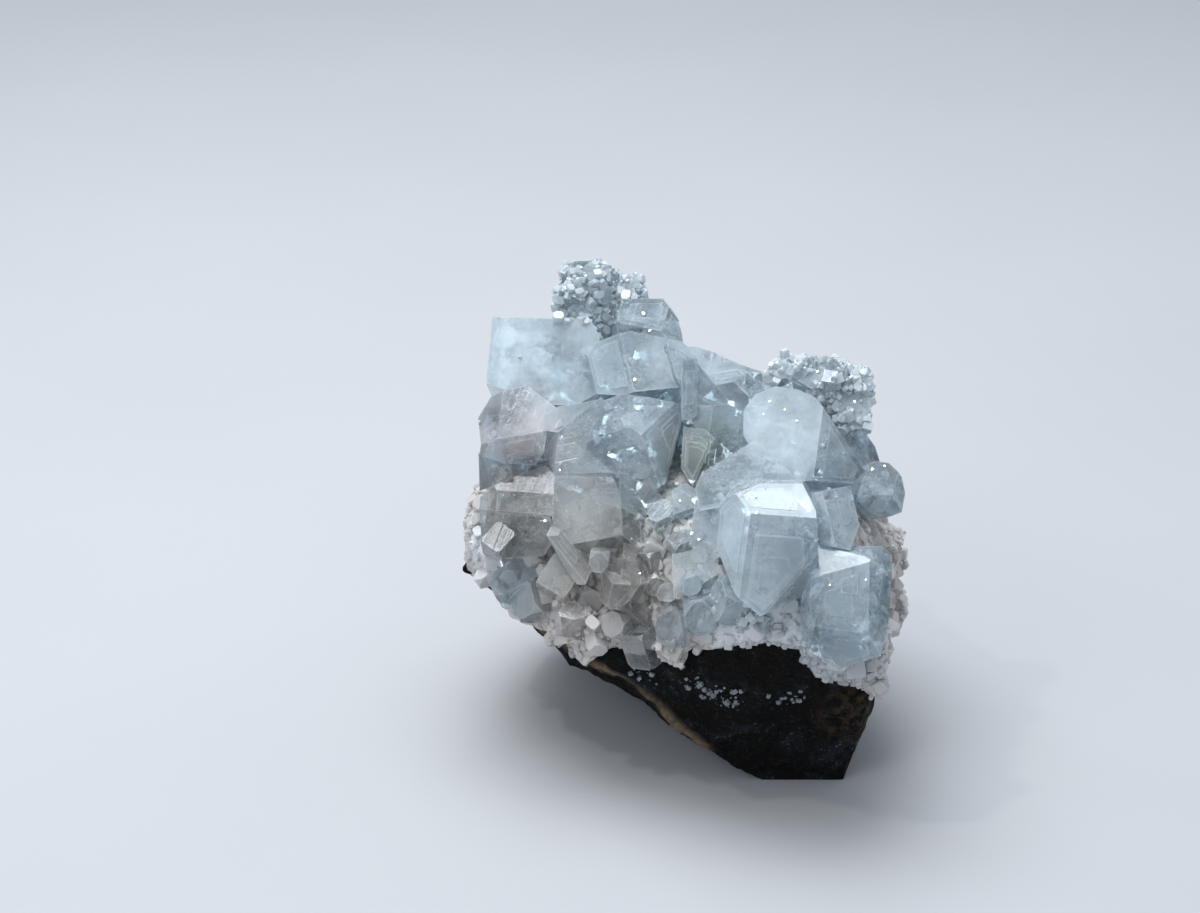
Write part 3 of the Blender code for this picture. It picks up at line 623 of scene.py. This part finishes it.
def inner_veils(facets, tree, rng):
    """Ragged veils under the faces, each with its middle inside the crystal."""
    forms = []
    for facet in facets:
        for _ in range(int(facet.area / VEIL_EVERY) + 1):
            shares = rng.dirichlet([1.0] * len(facet.corners))
            start = sum((corner * share for corner, share in zip(facet.corners, shares)), Vector())
            middle = start - facet.normal * rng.uniform(*VEIL_DEPTH)
            radius = rng.uniform(*VEIL_RADIUS)
            spot, normal, _, distance = tree.find_nearest(middle * MM)
            room = (VEIL_CLEARANCE + VEIL_CLEARANCE_SHARE * radius) * MM
            if (middle * MM - spot).dot(normal) > 0 or distance < room:
                continue
            radius = min(radius, distance / MM * VEIL_REACH)
            tilt = (facet.normal + Vector(rng.uniform(-VEIL_LEAN, VEIL_LEAN, 3))).normalized()
            forms.append(disc_form(middle, tilt, radius, rng))
    return forms


def line_form(start, end, width):
    """A thin ridge from one place to another."""
    run = (end - start).normalized()
    side = run.cross(LINE_FACING).normalized() * width
    up = side.cross(run)
    places = [place + shift for place in (start, end) for shift in (side, up, -side, -up)]
    faces = [[3, 2, 1, 0], [4, 5, 6, 7]] + [[i, (i + 1) % 4, (i + 1) % 4 + 4, i + 4] for i in range(4)]
    return places, faces


def growth_lines(tree):
    """The fans of bright lines. One that would leap from crystal to crystal is left out."""
    forms = []
    for *pixels, width in GROWTH_LINES:
        start, end = spot_at(tree, *pixels[:2]), spot_at(tree, *pixels[2:])
        if start and end and (start[0] - end[0]).length < LONGEST_LINE * MM:
            forms.append(line_form(start[0] / MM, end[0] / MM, width))
    return forms


def build_crystals(node, material, box):
    """The large crystals, with growth plates and lines on them and veils inside."""
    bm = copied_bmesh(node)
    bmesh.ops.dissolve_limit(bm, angle_limit=FLAT_ANGLE, verts=bm.verts, edges=bm.edges)
    rng = np.random.default_rng(CRYSTAL_SEED)
    facets, tree = facets_of(bm), BVHTree.FromBMesh(bm)
    plates = mesh_of("growth_plates", growth_plates(facets, rng, box))
    add_piece("growth_plates", plates, material)
    veils = mesh_of("inner_veils", inner_veils(facets, tree, rng))
    add_piece("inner_veils", veils, veil_material())
    lines = mesh_of("growth_lines", growth_lines(tree))
    add_piece("growth_lines", lines, line_material())
    for edge in bm.edges:
        edge.smooth = False
    divide(bm, CRYSTAL_GRAIN)
    mesh = finished_mesh(bm, "apophyllite_crystals")
    add_piece("apophyllite_crystals", mesh, material, node.name)


def kept_in(box, place):
    """The nearest place inside the box."""
    return Vector(map(max, box[0], map(min, box[1], place)))


def crust_height(place):
    """How far the crust is raised at a place, by lumps, nubs and fine grain."""
    lump = noise.fractal(place * CRUST_LUMP[0], *CRUST_LAYERS)
    nub = CELL_CORE - noise.voronoi(place * CRUST_NUB[0])[0][0]
    fine = noise.noise(place * CRUST_FINE[0])
    return min(CRUST_LUMP[1] * lump + CRUST_NUB[1] * nub + CRUST_FINE[1] * fine, MOST_RAISED)


def build_crust(node, material, box):
    """The crust's body, with a sugary surface."""
    bm = copied_bmesh(node)
    divide(bm, CRUST_GRAIN)
    for vert in bm.verts:
        vert.co += vert.normal * crust_height(vert.co / MM) * MM
        vert.co = kept_in(box, vert.co)
    for face in bm.faces:
        face.smooth = False
    mesh = finished_mesh(bm, "druse_crust_body")
    paint(mesh, "tint", blended(places_of(mesh), DRUSE_WARM, DRUSE_TINTS))
    add_piece("druse_crust_body", mesh, material, node.name)


def rim_share(places):
    """How near each place is to the layered rim."""
    nearest = np.full(len(places), np.inf)
    for start, end in zip(RIM_LINE, RIM_LINE[1:]):
        start, run = np.array(start, float), np.array(end, float) - np.array(start, float)
        along = np.clip((places - start) @ run / (run @ run), 0, 1)
        nearest = np.minimum(nearest, np.linalg.norm(places - start - along[:, None] * run, axis=1))
    return np.clip(RIM_FULL - nearest / RIM_WIDTH, 0, 1)


def rock_height(place):
    """How far the rock is raised at a place: rough all over, with pits."""
    rough = noise.fractal(place * ROCK_ROUGH[0], *ROCK_LAYERS)
    pits = noise.voronoi(place * ROCK_PIT[0])[0][0]
    return min(ROCK_ROUGH[1] * rough - ROCK_PIT[1] * max(0.0, CELL_CORE - pits), MOST_RAISED)


def build_rock(node, material, box):
    """The basalt, rough except where it rests."""
    bm = copied_bmesh(node)
    divide(bm, ROCK_GRAIN)
    for vert in bm.verts:
        place = vert.co / MM
        if place.z >= FOOT_HEIGHT:
            vert.co += vert.normal * rock_height(place) * min(1.0, place.z / FOOT_FADE) * MM
            vert.co = kept_in(box, vert.co)
    for face in bm.faces:
        face.smooth = False
    mesh = finished_mesh(bm, "basalt_rock")
    places = places_of(mesh)
    weigh(mesh, "rim", rim_share(places))
    weigh(mesh, "rust", blended(places, (0, 0, 0), [RUST_ZONE])[:, 0])
    add_piece("basalt_rock", mesh, material, node.name)


def block_form(cut):
    """A unit crystal block with its corners cut, as (places, faces)."""
    bm = bmesh.new()
    bmesh.ops.create_cube(bm, size=1.0)
    bmesh.ops.bevel(bm, geom=bm.verts[:], offset=cut, segments=1, affect="VERTICES")
    places = np.array([vert.co for vert in bm.verts])
    faces = [[vert.index for vert in face.verts] for face in bm.faces]
    bm.free()
    return places, faces


def surface_spots(mesh, count, rng, wanted):
    """Random places on a mesh's faces, by area, as (place, normal), where wanted(place) holds."""
    areas = np.array([face.area for face in mesh.polygons])
    picks = rng.choice(len(areas), size=count * SPOTS_DRAWN, p=areas / areas.sum())
    spots = []
    for index in picks:
        face = mesh.polygons[index]
        shares = rng.dirichlet((1, 1, 1))
        corners = [mesh.vertices[vertex].co for vertex in face.vertices[:3]]
        place = sum((corner * share for corner, share in zip(corners, shares)), Vector())
        if wanted(place / MM):
            spots.append((place, face.normal.copy()))
            if len(spots) == count:
                break
    return spots


Look = namedtuple("Look", "material slot base tints")


class Grower:
    """Sets small crystal blocks on surfaces, inside the specimen's box."""

    def __init__(self, box, seed):
        self.box = box
        self.rng = np.random.default_rng(seed)
        self.forms = [block_form(cut) for cut in BLOCK_CUTS]

    def block(self, place, normal, size, lean):
        """One block on a place: its corners and its faces."""
        places, faces = self.forms[self.rng.integers(len(self.forms))]
        axis = (normal + Vector(self.rng.uniform(-lean, lean, 3))).normalized()
        spin = Matrix.Rotation(self.rng.uniform(*BLOCK_SPIN), 3, "Z")
        turn = np.array(axis.to_track_quat("Z", "Y").to_matrix() @ spin)
        shape = size * np.array([1, self.rng.uniform(*BLOCK_WIDTH), self.rng.uniform(*BLOCK_LENGTH)])
        middle = np.array(place) / MM + np.array(axis) * size * BLOCK_PROUD
        return (places * shape) @ turn.T + middle, faces

    def grow(self, name, spots, sizes, look, lean=0.5):
        """Blocks on these spots, as one mesh. Most are near the smaller of the two sizes."""
        all_places, all_faces, shades, first = [], [], [], 0
        for place, normal in spots:
            size = sizes[0] + (sizes[1] - sizes[0]) * self.rng.random() ** 2
            places, faces = self.block(place, normal, size, lean)
            if not within(places, self.box):
                continue
            all_places.append(places)
            all_faces += [[first + corner for corner in face] for face in faces]
            shades += [self.rng.uniform(*BLOCK_SHADES)] * len(places)
            first += len(places)
        places = np.concatenate(all_places)
        mesh = bpy.data.meshes.new(name)
        mesh.from_pydata(places * MM, [], all_faces)
        paint(mesh, "tint", blended(places, look.base, look.tints) * np.array(shades)[:, None])
        add_piece(name, mesh, look.material)


def near(place, zones):
    return any((place - Vector(centre)).length < radius for centre, radius in zones)


def in_patch(place):
    """Whether a place is in one of the patches that carry perched crystals."""
    return noise.noise(place * PERCHED_PATCH[0]) > PERCHED_PATCH[1]


def outside(spot):
    """Whether a place on the crust looks away from the rock."""
    place, normal = spot
    return normal.dot(place - ROCK_CENTRE * MM) > 0


def tree_of(*nodes):
    """A search tree over some CAD nodes."""
    bm = bmesh.new()
    for node in nodes:
        bm.from_mesh(node.data)
    tree = BVHTree.FromBMesh(bm)
    bm.free()
    return tree


def found_spots(tree, pixels):
    """The place and normal that each pixel of the photograph shows, where it shows any."""
    found = [spot_at(tree, px, py) for px, py in pixels]
    return [spot for spot in found if spot]


def build_grains(nodes, box, crystal_glass):
    """The small crystals of the crust, of the tufts, and those that fill in between the large ones."""
    grower = Grower(box, GRAIN_SEED)
    glass = grain_material()
    crust, cluster = nodes["druse_crust"], nodes["apophyllite_cluster"]
    druse = Look(glass, "druse", DRUSE_GRAIN, DRUSE_TINTS)
    white = Look(glass, "apophyllite", TUFT_WHITE, [])
    for name, count, sizes in DRUSE_COATS:
        spots = surface_spots(crust.data, count, grower.rng, lambda place: True)
        grower.grow(name, [spot for spot in spots if outside(spot)], sizes, druse)
    tree = tree_of(crust, cluster)
    tufts = [(centre_at(tree, pixel), radius) for pixel, radius in TUFTS]
    tufted = surface_spots(cluster.data, TUFT_COUNT, grower.rng, lambda place: near(place, tufts))
    grower.grow("tuft_grains", tufted, TUFT_SIZES, white)
    perched = surface_spots(cluster.data, PERCHED_COUNT, grower.rng, in_patch)
    grower.grow("perched_grains", perched, PERCHED_SIZES, white)
    filler = Look(crystal_glass, "apophyllite", TUFT_WHITE, [])
    spots = found_spots(tree, FILLERS)
    Grower(box, FILLER_SEED).grow("filler_crystals", spots, FILLER_SIZES, filler, FILLER_LEAN)


def build_glints(nodes, box):
    """Small bright faces, each turned to reflect the warm light towards the camera's first place."""
    tree = tree_of(nodes["apophyllite_cluster"], nodes["druse_crust"])
    spots = []
    for place, _ in found_spots(tree, GLINTS):
        to_eye = (CAMERA_AT * MM - place).normalized()
        to_light = (Vector(SPARK_LIGHT) * MM - place).normalized()
        spots.append((place, (to_eye + to_light).normalized()))
    look = Look(glint_material(), "apophyllite", TUFT_WHITE, [])
    Grower(box, GLINT_SEED).grow("glint_chips", spots, GLINT_SIZES, look, 0.0)


def build_specks(nodes, box):
    """The pale crystal specks on the rock."""
    grower = Grower(box, SPECK_SEED)
    tree = tree_of(nodes["basalt_matrix"])
    centres = [place for place, _ in found_spots(tree, SPECKS) for _ in range(SPECKS_IN_EACH)]
    around = [centre + Vector(grower.rng.normal(0, SPECK_SPREAD, 3)) * MM for centre in centres]
    specks = [tree.find_nearest(place)[:2] for place in around]
    grower.grow("rock_specks", specks, SPECK_SIZES, Look(grain_material(), "druse", SPECK_GREY, []))


def add_camera():
    data = bpy.data.cameras.new("camera")
    data.sensor_width = SENSOR_WIDTH
    data.lens = FOCAL_PX * data.sensor_width / PHOTO_SIZE[0]
    data.clip_start, data.clip_end = 0.01, 20.0
    camera = bpy.data.objects.new("camera", data)
    camera.location = CAMERA_AT * MM
    camera.rotation_euler = (math.pi / 2 - CAMERA_PITCH, 0, 0)
    bpy.context.scene.collection.objects.link(camera)
    bpy.context.scene.camera = camera


def add_light(name, place, size, power, colour):
    """A square soft light that looks at the specimen."""
    data = bpy.data.lights.new(name, "AREA")
    data.size, data.energy, data.color = size * MM, power, colour
    light = bpy.data.objects.new(name, data)
    light.location = Vector(place) * MM
    light.rotation_euler = (LIGHTS_AIM - Vector(place)).to_track_quat("-Z", "Y").to_euler()
    bpy.context.scene.collection.objects.link(light)


def add_studio():
    """A soft surround, the lights and a pale floor."""
    world = bpy.data.worlds.new("soft_surround")
    bpy.context.scene.world = world
    world.use_nodes = True
    background = world.node_tree.nodes["Background"]
    background.inputs["Color"].default_value = SURROUND_COLOUR
    background.inputs["Strength"].default_value = SURROUND_STRENGTH
    for light in LIGHTS:
        add_light(*light)
    bpy.ops.mesh.primitive_plane_add(size=FLOOR_SIZE * MM)
    floor = bpy.context.object
    floor.name = "floor"
    floor.data.materials.append(floor_material())
    bpy.context.scene.view_settings.view_transform = "Standard"


def main():
    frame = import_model()
    cad_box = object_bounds()
    nodes = frame["nodes"]
    add_camera()
    add_studio()
    crystal_glass = crystal_material(tree_of(nodes["apophyllite_cluster"], nodes["druse_crust"]))
    build_crystals(nodes["apophyllite_cluster"], crystal_glass, cad_box)
    build_crust(nodes["druse_crust"], druse_material(), cad_box)
    build_rock(nodes["basalt_matrix"], basalt_material(), cad_box)
    build_grains(nodes, cad_box, crystal_glass)
    build_glints(nodes, cad_box)
    build_specks(nodes, cad_box)


main()
